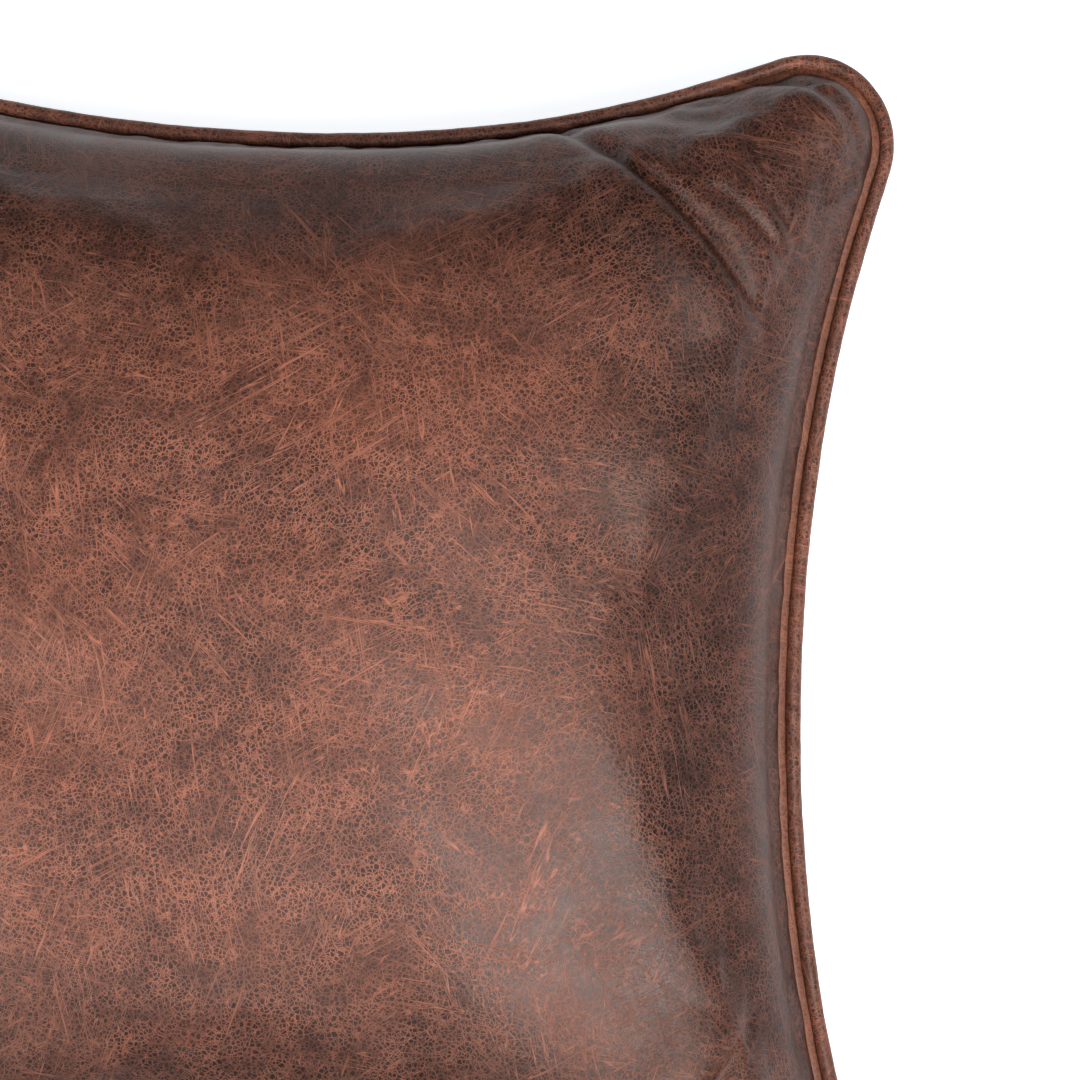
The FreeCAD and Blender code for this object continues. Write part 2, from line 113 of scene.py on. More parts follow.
# The zip
ZIP_HALF_ANGLE = math.radians(14.5)
COIL_HALF_ANGLE = math.radians(13.65)
COIL_OUTER, COIL_INNER = 8.5 * MM, 10.7 * MM     # offsets of the coils' faces
CHAIN_HALF_SLOT = 0.36 * MM
LOOP_HALF_WIDTH = 0.62 * MM
LOOP_HALF_DEPTH = 1.08 * MM
HEM_OFFSET = 9.4 * MM
STITCH_PROUD = 0.4 * MM
STITCH_RADIUS = 0.36 * MM
HEM_TOP = SEAM_HEIGHT - 14.3 * MM
TOOTH_PITCH = 1.5 * MM
STITCH_PITCH = 3.6 * MM

rng = np.random.default_rng(7)


# The outline

def side_point(offset, angle):
    """A point of the +Y side's hollow arc, at an angle from its middle."""
    radius = SIDE_RADIUS + offset
    return radius * math.sin(angle), FAR - radius * math.cos(angle)


def corner_point(offset, turn):
    """A point of the +X +Y corner's arc, after a clockwise turn from its +Y end."""
    radius = CORNER_RADIUS - offset
    angle = math.pi / 2 + FLANK - turn
    return CORNER_CENTRE + radius * math.cos(angle), CORNER_CENTRE + radius * math.sin(angle)


def half_side(offset):
    """Dense points from the middle of the +Y side to the middle of the next corner."""
    sweep = math.pi / 2 + 2 * FLANK
    arc = [side_point(offset, angle) for angle in np.linspace(0, FLANK, 60)]
    corner = [corner_point(offset, turn) for turn in np.linspace(0, sweep / 2, 60)]
    return np.array(arc + corner)


def along(points, shares):
    """Places at shares of a line's length."""
    steps = np.hypot(*np.diff(points, axis=0).T)
    length = np.concatenate([[0.0], np.cumsum(steps)])
    wanted = np.asarray(shares) * length[-1]
    return np.stack([np.interp(wanted, length, points[:, axis]) for axis in (0, 1)], axis=1)


def side_line(offset, shares):
    """Places on the +Y side, from -1 at the left corner's middle to +1 at the right one's."""
    right = along(half_side(offset), np.abs(shares))
    right[:, 0] *= np.sign(shares)
    return right


def settled(plan):
    """The outline with its gentle unevenness: the filling has shifted along two sides."""
    x, y = plan[..., 0].copy(), plan[..., 1].copy()
    right = np.clip(x / HALF_SPAN, 0, 1) ** 2
    top = np.clip(y / HALF_SPAN, 0, 1) ** 2
    along_right = np.cos(math.pi * (y - SIDE_DRIFT_PEAK) / SIDE_DRIFT_RUN)
    x += right * (SIDE_DRIFT * along_right - SIDE_DRIFT_MEAN)
    y += top * (TOP_DRIFT * np.cos(math.pi * (x - TOP_DRIFT_PEAK) / TOP_DRIFT_RUN))
    return np.stack([x, y], axis=-1)


# Mesh helpers

def mesh_object(name, verts, faces, material=None, smooth=True):
    """A new object from vertices and faces."""
    mesh = bpy.data.meshes.new(name)
    mesh.from_pydata([tuple(v) for v in verts], [], [tuple(f) for f in faces])
    mesh.validate()
    mesh.update()
    if smooth:
        mesh.polygons.foreach_set("use_smooth", [True] * len(mesh.polygons))
    obj = bpy.data.objects.new(name, mesh)
    bpy.context.scene.collection.objects.link(obj)
    if material:
        mesh.materials.append(material)
    return obj


def coordinates(obj):
    """The object's vertices as an array."""
    flat = np.empty(len(obj.data.vertices) * 3)
    obj.data.vertices.foreach_get("co", flat)
    return flat.reshape(-1, 3)


def set_coordinates(obj, places):
    """Moves the object's vertices."""
    obj.data.vertices.foreach_set("co", places.reshape(-1))
    obj.data.update()


def normals(obj):
    """The object's vertex normals as an array."""
    flat = np.empty(len(obj.data.vertices) * 3)
    obj.data.vertex_normals.foreach_get("vector", flat)
    return flat.reshape(-1, 3)


def apply_modifiers(obj):
    """Keeps the modifiers' result as the mesh."""
    evaluated = obj.evaluated_get(bpy.context.evaluated_depsgraph_get())
    mesh = bpy.data.meshes.new_from_object(evaluated)
    obj.modifiers.clear()
    obj.data = mesh


def smooth_step(values, low, high):
    """0 below low, 1 above high and smooth between."""
    share = np.clip((values - low) / (high - low), 0.0, 1.0)
    return share * share * (3 - 2 * share)


# The crowned panels

def grid_values():
    """Cell lines across a panel, close together at the seam where the leather stands up."""
    return np.sin(np.linspace(-1, 1, PANEL_GRID + 1) * math.pi / 2)


def panel_plan():
    """Where each grid point of a panel lies in plan."""
    lines = grid_values()
    top = side_line(PANEL_OFFSET, lines)
    size = len(lines)
    u = lines[:, None, None]
    v = lines[None, :, None]
    bottom = top * [1, -1]
    right = top[:, ::-1]
    left = right * [-1, 1]
    upper = (1 + v) / 2 * top[:, None, :] + (1 - v) / 2 * bottom[:, None, :]
    across = (1 + u) / 2 * right[None, :, :] + (1 - u) / 2 * left[None, :, :]
    tip = right[-1]
    corners = np.stack([u * tip[0] * np.ones((1, size, 1)), v * tip[1] * np.ones((size, 1, 1))],
                       axis=-1)[:, :, 0, :]
    return upper + across - corners


def panel_height():
    """How far each grid point stands out from the seam."""
    lines = grid_values()
    share = (1 - lines[:, None] ** 2) * (1 - lines[None, :] ** 2)
    return CROWN * np.clip(share, 0, 1) ** FULLNESS


def grid_faces(columns, rows, flip):
    """Quads of a grid, wound either way."""
    index = np.arange(columns * rows).reshape(columns, rows)
    quads = np.stack([index[:-1, :-1], index[1:, :-1], index[1:, 1:], index[:-1, 1:]], axis=-1)
    quads = quads.reshape(-1, 4)
    return quads[:, ::-1] if flip else quads


def overhang(plan, height, side):
    """The panel's bulge out over the seam, most at the top edge."""
    out = np.sin(np.clip(height / BULGE_HEIGHT, 0, 1) * math.pi) ** 0.8
    x, y = plan[..., 0], plan[..., 1]
    middle_x = smooth_step(-np.abs(x), -CORNER_START, -EDGE_START)
    middle_y = smooth_step(-np.abs(y), -CORNER_START, -EDGE_START)
    at_top = smooth_step(y, EDGE_START, EDGE_END) * middle_x
    at_bottom = smooth_step(-y, EDGE_START, EDGE_END) * middle_x
    at_side = smooth_step(np.abs(x), EDGE_START, EDGE_END) * middle_y
    top_push = FRONT_TOP_BULGE if side > 0 else BACK_TOP_BULGE
    bottom_push = FRONT_BOTTOM_BULGE if side > 0 else 0.0
    x_push = SIDE_BULGE * at_side * np.sign(x)
    y_push = top_push * at_top - bottom_push * at_bottom
    return plan + np.stack([x_push * out, y_push * out], axis=-1)


def base_panel(side):
    """The plain crowned panel's grid points, before creases."""
    plan = panel_plan()
    height = panel_height()
    plan = overhang(plan, height, side)
    z = SEAM_HEIGHT + side * (PLY / 2 + height)
    return np.concatenate([plan, z[..., None]], axis=-1)


def rest_flat(places):
    """Turns the back flat where it lies on the floor."""
    z = places[..., 2]
    gap = z - FLOOR_GAP
    places[..., 2] = FLOOR_GAP + (gap + np.sqrt(gap * gap + REST_BLEND ** 2 / 4)) / 2


# Creases, drawn for the +X +Y corner and turned to the others

def curve_samples(points):
    """Dense samples of a smooth curve through a few points."""
    points = np.array(points) * MM
    shares = np.linspace(0, 1, len(points))
    wanted = np.linspace(0, 1, 80)
    steps = []
    for axis in (0, 1):
        fit = np.polynomial.Polynomial.fit(shares, points[:, axis], min(3, len(points) - 1))
        steps.append(fit(wanted))
    return np.stack(steps, axis=1)


def crease(plan, points, depth, width, shelf=0.0, shelf_width=10.0):
    """The lift of a crease: a groove along the curve, with a soft swell on its inner side."""
    line = curve_samples(points)
    near = np.all((plan > line.min(axis=0) - 45 * MM) & (plan < line.max(axis=0) + 45 * MM), axis=1)
    lift = np.zeros(len(plan))
    spots = plan[near]
    if not len(spots):
        return lift
    gaps = spots[:, None, :] - line[None, :, :]
    distance = np.hypot(gaps[..., 0], gaps[..., 1])
    nearest = distance.argmin(axis=1)
    share = nearest / (len(line) - 1)
    tangent = np.gradient(line, axis=0)[nearest]
    tangent /= np.hypot(*tangent.T)[:, None]
    gap = gaps[np.arange(len(spots)), nearest]
    signed = tangent[:, 0] * gap[:, 1] - tangent[:, 1] * gap[:, 0]
    fade = np.sin(np.clip(share, 0.02, 0.98) * math.pi) ** 0.6
    ends = (nearest == 0) | (nearest == len(line) - 1)
    fade = np.where(ends, fade * np.exp(-(distance.min(axis=1) / (6 * MM)) ** 2), fade)
    groove = -depth * MM * np.exp(-(signed / (width * MM)) ** 2)
    swell = shelf * MM * np.exp(-((signed + shelf_width * MM) / (shelf_width * MM)) ** 2)
    lift[near] = (groove + swell) * fade
    return lift


CORNER_CREASES = [
    # points in mm, depth, width, swell on the inner side, its width
    ([(108, 222), (134, 208), (158, 193), (176, 175), (189, 156), (199, 138)], 6.5, 3.2, 4.2, 14),
    ([(172, 192), (190, 184), (204, 170), (212, 158)], 2.4, 2.8, 1.6, 5),
    ([(196, 196), (207, 183), (214, 170)], 2.0, 2.4, 1.3, 4.5),
    ([(160, 188), (180, 196), (200, 203)], -1.0, 6.0, 0.0, 5),
    ([(182, 240), (204, 241), (219, 237), (230, 228), (236, 215), (238, 198)], 2.6, 3.0, 2.6, 7),
    ([(227, 233), (234, 219), (238, 206), (240, 194)], -1.6, 2.0, 0.0, 5),
    ([(140, 226), (165, 222), (190, 225)], 1.2, 4.0, 0.8, 7),
]


def corner_lift(plan, side):
    """The lift of every corner's creases, each corner a little different."""
    lift = np.zeros(len(plan))
    turns = [(1, 1, 1.0), (-1, 1, 0.8), (-1, -1, 0.9), (1, -1, 0.75)]
    for number, (sx, sy, strength) in enumerate(turns):
        local = plan * [sx, sy]
        if (number == 1) != (side < 0):
            local = local[:, ::-1]
        shift = [(0, 0), (-6, 3), (4, -5), (3, 6)][number]
        for points, depth, width, shelf, shelf_width in CORNER_CREASES:
            moved = [(x + shift[0], y + shift[1]) for x, y in points]
            lift += strength * crease(local, moved, depth, width, shelf, shelf_width)
    return lift


def waves(plan):
    """Slow unevenness of the filling under the leather."""
    lift = np.zeros(len(plan))
    for _ in range(14):
        angle = rng.uniform(0, math.pi)
        length = rng.uniform(55, 130) * MM
        phase = rng.uniform(0, 2 * math.pi)
        run = plan[:, 0] * math.cos(angle) + plan[:, 1] * math.sin(angle)
        lift += np.sin(run / length * 2 * math.pi + phase) * 0.28 * MM
    return lift


def puckers(plan, height):
    """Short soft puckers that run in from the seam."""
    angle = np.arctan2(plan[:, 1], plan[:, 0])
    ripple = np.zeros(len(plan))
    for waves_round in (37, 53, 71, 97):
        ripple += np.sin(angle * waves_round + rng.uniform(0, 2 * math.pi)) / 4
    near_seam = np.exp(-(height / (15 * MM)) ** 2) * smooth_step(height, 1 * MM, 5 * MM)
    return ripple * near_seam * 0.7 * MM


# Cloth: the pillow is blown up once, and its swelling is laid over the fine panels

def swelling(front, back):
    """(places, moves) of the pillow's skin after a short cloth simulation."""
    places, faces, start = [], [], 0
    for grid, flip in ((front, False), (back, True)):
        coarse = grid[::SKIN_STEP, ::SKIN_STEP].reshape(-1, 3)
        size = grid[::SKIN_STEP, ::SKIN_STEP].shape[0]
        places.append(coarse)
        faces.append(grid_faces(size, size, flip) + start)
        start += len(coarse)
    skin = mesh_object("swelling_skin", np.concatenate(places), np.concatenate(faces))
    weld = skin.modifiers.new("weld", "WELD")
    weld.merge_threshold = 1.5 * MM
    remesh = skin.modifiers.new("remesh", "REMESH")
    remesh.mode = "VOXEL"
    remesh.voxel_size = SKIN_VOXEL
    apply_modifiers(skin)
    before = coordinates(skin)
    group = skin.vertex_groups.new(name="seam")
    held = np.abs(before[:, 2] - SEAM_HEIGHT) < 5 * MM
    flat = before[:, 2] < 4 * MM
    group.add([int(i) for i in np.flatnonzero(held | flat)], 1.0, "REPLACE")
    cloth = skin.modifiers.new("cloth", "CLOTH")
    settings = cloth.settings
    settings.quality = 6
    settings.mass = 0.5
    settings.tension_stiffness = 25
    settings.compression_stiffness = 12
    settings.shear_stiffness = 12
    settings.bending_stiffness = 1.2
    settings.shrink_min = -0.025
    settings.use_pressure = True
    settings.uniform_pressure_force = 4
    settings.vertex_group_mass = "seam"
    settings.effector_weights.gravity = 0
    cloth.collision_settings.use_collision = False
    cloth.point_cache.frame_start = 1
    cloth.point_cache.frame_end = SWELL_FRAMES
    scene = bpy.context.scene
    for number in range(1, SWELL_FRAMES + 1):
        scene.frame_set(number)
    apply_modifiers(skin)
    moves = coordinates(skin) - before
    scene.frame_set(1)
    bpy.data.objects.remove(skin)
    length = np.linalg.norm(moves, axis=1, keepdims=True)
    return before, moves * np.minimum(1.0, SWELL_CAP / np.maximum(length, 1e-9))


def lay_over(places, skin, moves):
    """The skin's moves at other places, from the nearest skin points."""
    tree = KDTree(len(skin))
    for index, place in enumerate(skin):
        tree.insert(place, index)
    tree.balance()
    result = np.zeros_like(places)
    for index, place in enumerate(places):
        found = tree.find_n(place, 5)
        weights = np.array([1.0 / (distance + 1 * MM) ** 2 for _, _, distance in found])
        rows = [number for _, number, _ in found]
        result[index] = weights @ moves[rows] / weights.sum()
    return result


# The zip's opening in the back

def zip_angle(places):
    """The angle along the -Y side, from its middle towards +X."""
    return np.arctan2(places[:, 0], places[:, 1] + FAR)


def zip_offset(places):
    """The offset from the welt's outer edge along the -Y side."""
    return np.hypot(places[:, 0], places[:, 1] + FAR) - SIDE_RADIUS


def open_for_zip(places):
    """Flattens the back's wall along the zip and folds it back at the hem.

    Returns the new places and which points lie in the opening.
    """
    angle, offset = zip_angle(places), zip_offset(places)
    near = (places[:, 1] < -150 * MM)
    beside = smooth_step(-np.abs(angle), -math.radians(17.0), -math.radians(14.8)) * near
    drop = SEAM_HEIGHT - places[:, 2]
    low = 1 - smooth_step(drop, 21 * MM, 52 * MM)
    push = (offset - HEM_OFFSET) * beside * low
    radius = SIDE_RADIUS + offset - push
    places = places.copy()
    places[:, 0] = radius * np.sin(angle)
    places[:, 1] = radius * np.cos(angle) - FAR
    opened = (np.abs(angle) < ZIP_HALF_ANGLE) & near & (places[:, 2] > HEM_TOP)
    places[opened, 2] = HEM_TOP
    return places, opened


def finished_panel(side, base, skin, moves, material):
    """A panel's grid with its swelling, creases and thickness, as an object."""
    flat = base.reshape(-1, 3).copy()
    height = np.abs(flat[:, 2] - SEAM_HEIGHT)
    if moves is not None:
        mask = smooth_step(height, 2 * MM, 16 * MM)[:, None]
        flat += lay_over(flat, skin, moves) * mask
    plan = flat[:, :2].copy()
    faces = grid_faces(PANEL_GRID + 1, PANEL_GRID + 1, side < 0)
    name = "front_leather" if side > 0 else "back_leather"
    obj = mesh_object(name, flat, faces, material)
    lift = corner_lift(plan, side) * (1.0 if side > 0 else 0.8)
    lift += waves(plan) * smooth_step(height, 8 * MM, 30 * MM) + puckers(plan, height)
    lift *= smooth_step(height, 0.6 * MM, 4 * MM)
    flat += normals(obj) * lift[:, None]
    opened = None
    if side < 0:
        flat, opened = open_for_zip(flat)
        rest_flat(flat)
    flat[:, :2] = settled(flat[:, :2])
    if opened is not None:
        kept = ~opened[faces].all(axis=1)
        bpy.data.objects.remove(obj)
        obj = mesh_object(name, flat, faces[kept], material)
    else:
        set_coordinates(obj, flat)
    solidify = obj.modifiers.new("thickness", "SOLIDIFY")
    solidify.thickness = LEATHER
    solidify.offset = -1
    weld = obj.modifiers.new("weld", "WELD")
    weld.merge_threshold = 0.01 * MM
    apply_modifiers(obj)
    return obj


# The welt

def outline_ring(offset, count):
    """Evenly spaced places once round the outline, anticlockwise from the +Y side's middle."""
    eighth = half_side(offset)
    quarter = np.concatenate([eighth, eighth[::-1][1:, ::-1]])
    ring = []
    for side in range(4):
        turn = side * math.pi / 2
        rotation = np.array([[math.cos(turn), -math.sin(turn)], [math.sin(turn), math.cos(turn)]])
        ring.append((quarter @ rotation)[:-1])
    closed = np.concatenate(ring + [ring[0][:1]])
    return along(closed, np.linspace(0, 1, count, endpoint=False))


def sweep_round(name, profiles, material):
    """Closed profiles (offset, height) carried round the outline; each a function of place."""
    count = 1500
    centre = outline_ring(WELT_RADIUS, count)
    ahead = np.roll(centre, -1, axis=0) - np.roll(centre, 1, axis=0)
    ahead /= np.hypot(*ahead.T)[:, None]
    inward = np.stack([ahead[:, 1], -ahead[:, 0]], axis=1)
    verts, faces = [], []
    for profile in profiles:
        start = sum(len(part) for part in verts)
        shape = np.stack([profile(share) for share in np.arange(count) / count])
        size = shape.shape[1]
        plan = centre[:, None, :] + inward[:, None, :] * shape[..., :1]
        plan = settled(plan)
        z = SEAM_HEIGHT + shape[..., 1:]
        verts.append(np.concatenate([plan, z], axis=-1).reshape(-1, 3))
        index = np.arange(count * size).reshape(count, size) + start
        after = np.roll(index, -1, axis=0)
        around, after_around = np.roll(index, -1, axis=1), np.roll(after, -1, axis=1)
        faces.append(np.stack([index, after, after_around, around], axis=-1).reshape(-1, 4))
    return mesh_object(name, np.concatenate(verts), np.concatenate(faces), material)


def welt(material):
    """The leather roll round the cord and the two plies behind it."""
    phases = rng.uniform(0, 2 * math.pi, 6)
    turns = (23, 41, 67, 118, 171, 263)
    sizes = (0.10, 0.08, 0.06, 0.05, 0.04, 0.03)
    angles = np.linspace(0, 2 * math.pi, 28, endpoint=False)

    def roll(share):
        wobble = sum(size * MM * math.sin(2 * math.pi * share * turn + phase)
                     for size, turn, phase in zip(sizes, turns, phases))
        radius = WELT_RADIUS - 0.1 * MM + wobble * 0.6
        pinch = 1 - 0.05 * np.clip(np.cos(angles), 0, 1) ** 4
        return np.stack([np.cos(angles) * radius * pinch, np.sin(angles) * radius + wobble * 0.5],
                        axis=1)

    def plies(share):
        out = WELT_RADIUS * 0.8
        return np.array([(out, -PLY), (PLY_REACH, -PLY), (PLY_REACH, PLY), (out, PLY)])

    return sweep_round("welt_leather", [roll, plies], material)


def cord_core(material):
    """The cord inside the welt, on the welt's own line."""
    angles = np.linspace(0, 2 * math.pi, 12, endpoint=False)
    radius = WELT_RADIUS - PLY - 0.2 * MM
    circle = np.stack([np.cos(angles), np.sin(angles)], axis=1) * radius
    return sweep_round("welt_cord_core", [lambda share: circle], material)


def seam_threads(material):
    """The two thread lines under the panels' turned-in edges."""
    def line(height):
        square = np.array([(-1, -1), (1, -1), (1, 1), (-1, 1)]) * THREAD_HALF
        return square + [THREAD_OFFSET - WELT_RADIUS, height]
    rows = [line(side * THREAD_DROP) for side in (1, -1)]
    return sweep_round("seam_threads", [lambda share, row=row: row for row in rows], material)


# Zip details

def on_zip(angle, offset, height):
    """A place along the zip."""
    radius = SIDE_RADIUS + offset
    return np.array([radius * math.sin(angle), radius * math.cos(angle) - FAR, height])


def pebble(columns=8, rows=5):
    """A unit sphere's vertices and faces."""
    verts = [(0, 0, 1)]
    for row in range(1, rows):
        polar = math.pi * row / rows
        for column in range(columns):
            turn = 2 * math.pi * column / columns
            verts.append((math.sin(polar) * math.cos(turn), math.sin(polar) * math.sin(turn),
                          math.cos(polar)))
    verts.append((0, 0, -1))
    faces = [(0, 1 + column, 1 + (column + 1) % columns) for column in range(columns)]
    for row in range(rows - 2):
        for column in range(columns):
            here, right = 1 + row * columns + column, 1 + row * columns + (column + 1) % columns
            faces.append((here, here + columns, right + columns, right))
    last = len(verts) - 1
    first = last - columns
    faces += [(last, first + (column + 1) % columns, first + column) for column in range(columns)]
    return np.array(verts, dtype=float), faces


def row_of_pebbles(name, spots, radii, material):
    """Rounded pieces at (angle, offset, height) along the zip, each turned to face outward."""
    unit, unit_faces = pebble()
    verts, faces = [], []
    for number, (angle, offset, height) in enumerate(spots):
        centre = on_zip(angle, offset, height)
        ahead = np.array([math.cos(angle), -math.sin(angle), 0])
        inward = np.array([math.sin(angle), math.cos(angle), 0])
        local = unit * radii
        verts.append(centre + local[:, :1] * ahead + local[:, 1:2] * inward
                     + local[:, 2:] * np.array([0, 0, 1]))
        faces += [tuple(i + number * len(unit) for i in face) for face in unit_faces]
    return mesh_object(name, np.concatenate(verts), faces, material)


def coil_teeth(name, low, high, shift, material):
    """One half of the chain as a row of nylon loops."""
    count = int(2 * COIL_HALF_ANGLE * SIDE_RADIUS / TOOTH_PITCH)
    offset = (COIL_OUTER + COIL_INNER) / 2
    height = (low + high) / 2
    pitch = 2 * COIL_HALF_ANGLE / count
    spots = [(-COIL_HALF_ANGLE + (number + shift) * pitch, offset, height)
             for number in range(count)]
    radii = [LOOP_HALF_WIDTH, LOOP_HALF_DEPTH, (high - low) / 2]
    return row_of_pebbles(name, spots, radii, material)


def stitches(name, height, offset, material):
    """The topstitching on the hem."""
    half = ZIP_HALF_ANGLE - math.radians(0.2)
    count = int(2 * half * SIDE_RADIUS / STITCH_PITCH)
    spots = [(-half + (number + 0.5) * 2 * half / count, offset, height)
             for number in range(count)]
    radii = [STITCH_PITCH * 0.42, STITCH_RADIUS, STITCH_RADIUS]
    return row_of_pebbles(name, spots, radii, material)


# Materials

def new_material(name):
    """A node material with only its output and a principled shader."""
    material = bpy.data.materials.new(name)
    material.use_nodes = True
    tree = material.node_tree
    tree.nodes.clear()
    output = tree.nodes.new("ShaderNodeOutputMaterial")
    shader = tree.nodes.new("ShaderNodeBsdfPrincipled")
    tree.links.new(shader.outputs[0], output.inputs[0])
    return material, tree, shader


def noise(tree, vector, scale, detail=3.0, roughness=0.55, distortion=0.0):
    """A noise texture's value."""
    made = tree.nodes.new("ShaderNodeTexNoise")
    made.inputs["Scale"].default_value = scale
    made.inputs["Detail"].default_value = detail
    made.inputs["Roughness"].default_value = roughness
    made.inputs["Distortion"].default_value = distortion
    tree.links.new(vector, made.inputs["Vector"])
    return made.outputs["Fac"]


def ramp(tree, value, stops):
    """A colour ramp over (position, colour or grey) stops."""
    made = tree.nodes.new("ShaderNodeValToRGB")
    elements = made.color_ramp.elements
    while len(elements) < len(stops):
        elements.new(0.5)
    for element, (position, colour) in zip(elements, stops):
        element.position = position
        tone = colour if isinstance(colour, tuple) else (colour, colour, colour)
        element.color = (*tone, 1.0)
    tree.links.new(value, made.inputs[0])
    return made.outputs[0]


def maths(tree, operation, first, second=None):
    """A math node's value; numbers and sockets both do."""
    made = tree.nodes.new("ShaderNodeMath")
    made.operation = operation
    for slot_number, value in enumerate((first, second)):
        if value is None:
            continue
        if isinstance(value, (int, float)):
            made.inputs[slot_number].default_value = value
        else:
            tree.links.new(value, made.inputs[slot_number])
    return made.outputs[0]


def mix(tree, factor, first, second, blend="MIX"):
    """A colour mix."""
    made = tree.nodes.new("ShaderNodeMix")
    made.data_type = "RGBA"
    made.blend_type = blend
    sockets = (made.inputs[0], made.inputs[6], made.inputs[7])
    for socket, value in zip(sockets, (factor, first, second)):
        if isinstance(value, tuple):
            socket.default_value = (*value, 1.0)
        elif isinstance(value, (int, float)):
            socket.default_value = value
        else:
            tree.links.new(value, socket)
    return made.outputs[2]


def mapped(tree, vector, scale, rotation=(0, 0, 0), location=(0, 0, 0)):
    """Coordinates turned, shifted and scaled."""
    made = tree.nodes.new("ShaderNodeMapping")
    made.inputs["Scale"].default_value = scale
    made.inputs["Rotation"].default_value = rotation
    made.inputs["Location"].default_value = location
    tree.links.new(vector, made.inputs["Vector"])
    return made.outputs[0]


def object_vector(tree):
    """The piece's own coordinates, in metres."""
    return tree.nodes.new("ShaderNodeTexCoord").outputs["Object"]


def bump(tree, height, distance, strength, after=None):
    """A bump normal, on top of another if given."""
    made = tree.nodes.new("ShaderNodeBump")
    made.inputs["Distance"].default_value = distance
    made.inputs["Strength"].default_value = strength
    tree.links.new(height, made.inputs["Height"])
    if after is not None:
        tree.links.new(after, made.inputs["Normal"])
    return made.outputs[0]


def crackle(tree, vector, scale, width):
    """Fine branching lines: the edges of warped cells, 1 on a line and 0 off it."""
    warp = tree.nodes.new("ShaderNodeTexNoise")
    warp.inputs["Scale"].default_value = scale * 0.55
    warp.inputs["Detail"].default_value = 2.0
    tree.links.new(vector, warp.inputs["Vector"])
    shift = tree.nodes.new("ShaderNodeVectorMath")
    shift.operation = "MULTIPLY_ADD"
    tree.links.new(warp.outputs["Color"], shift.inputs[0])
    shift.inputs[1].default_value = (0.75 / scale,) * 3
    tree.links.new(vector, shift.inputs[2])
    cells = tree.nodes.new("ShaderNodeTexVoronoi")
    cells.feature = "DISTANCE_TO_EDGE"
    cells.inputs["Scale"].default_value = scale
    tree.links.new(shift.outputs[0], cells.inputs["Vector"])
    return ramp(tree, cells.outputs["Distance"], [(0.0, 1.0), (width, 0.35), (width * 2.4, 0.0)])


def hairlines(tree, vector, angle, place):
    """Long fine creases that run mostly one way: where a stretched noise crosses its middle."""
    turned = mapped(tree, vector, (1, 1, 1), (0, 0, angle), (place, place * 0.7, 0))
    stretched = mapped(tree, turned, (15, 290, 15))
    value = noise(tree, stretched, 1.0, 2.0, 0.45, 0.7)
    away = maths(tree, "ABSOLUTE", maths(tree, "SUBTRACT", value, 0.5))
    return ramp(tree, away, [(0.0, 1.0), (0.006, 0.5), (0.013, 0.0)])


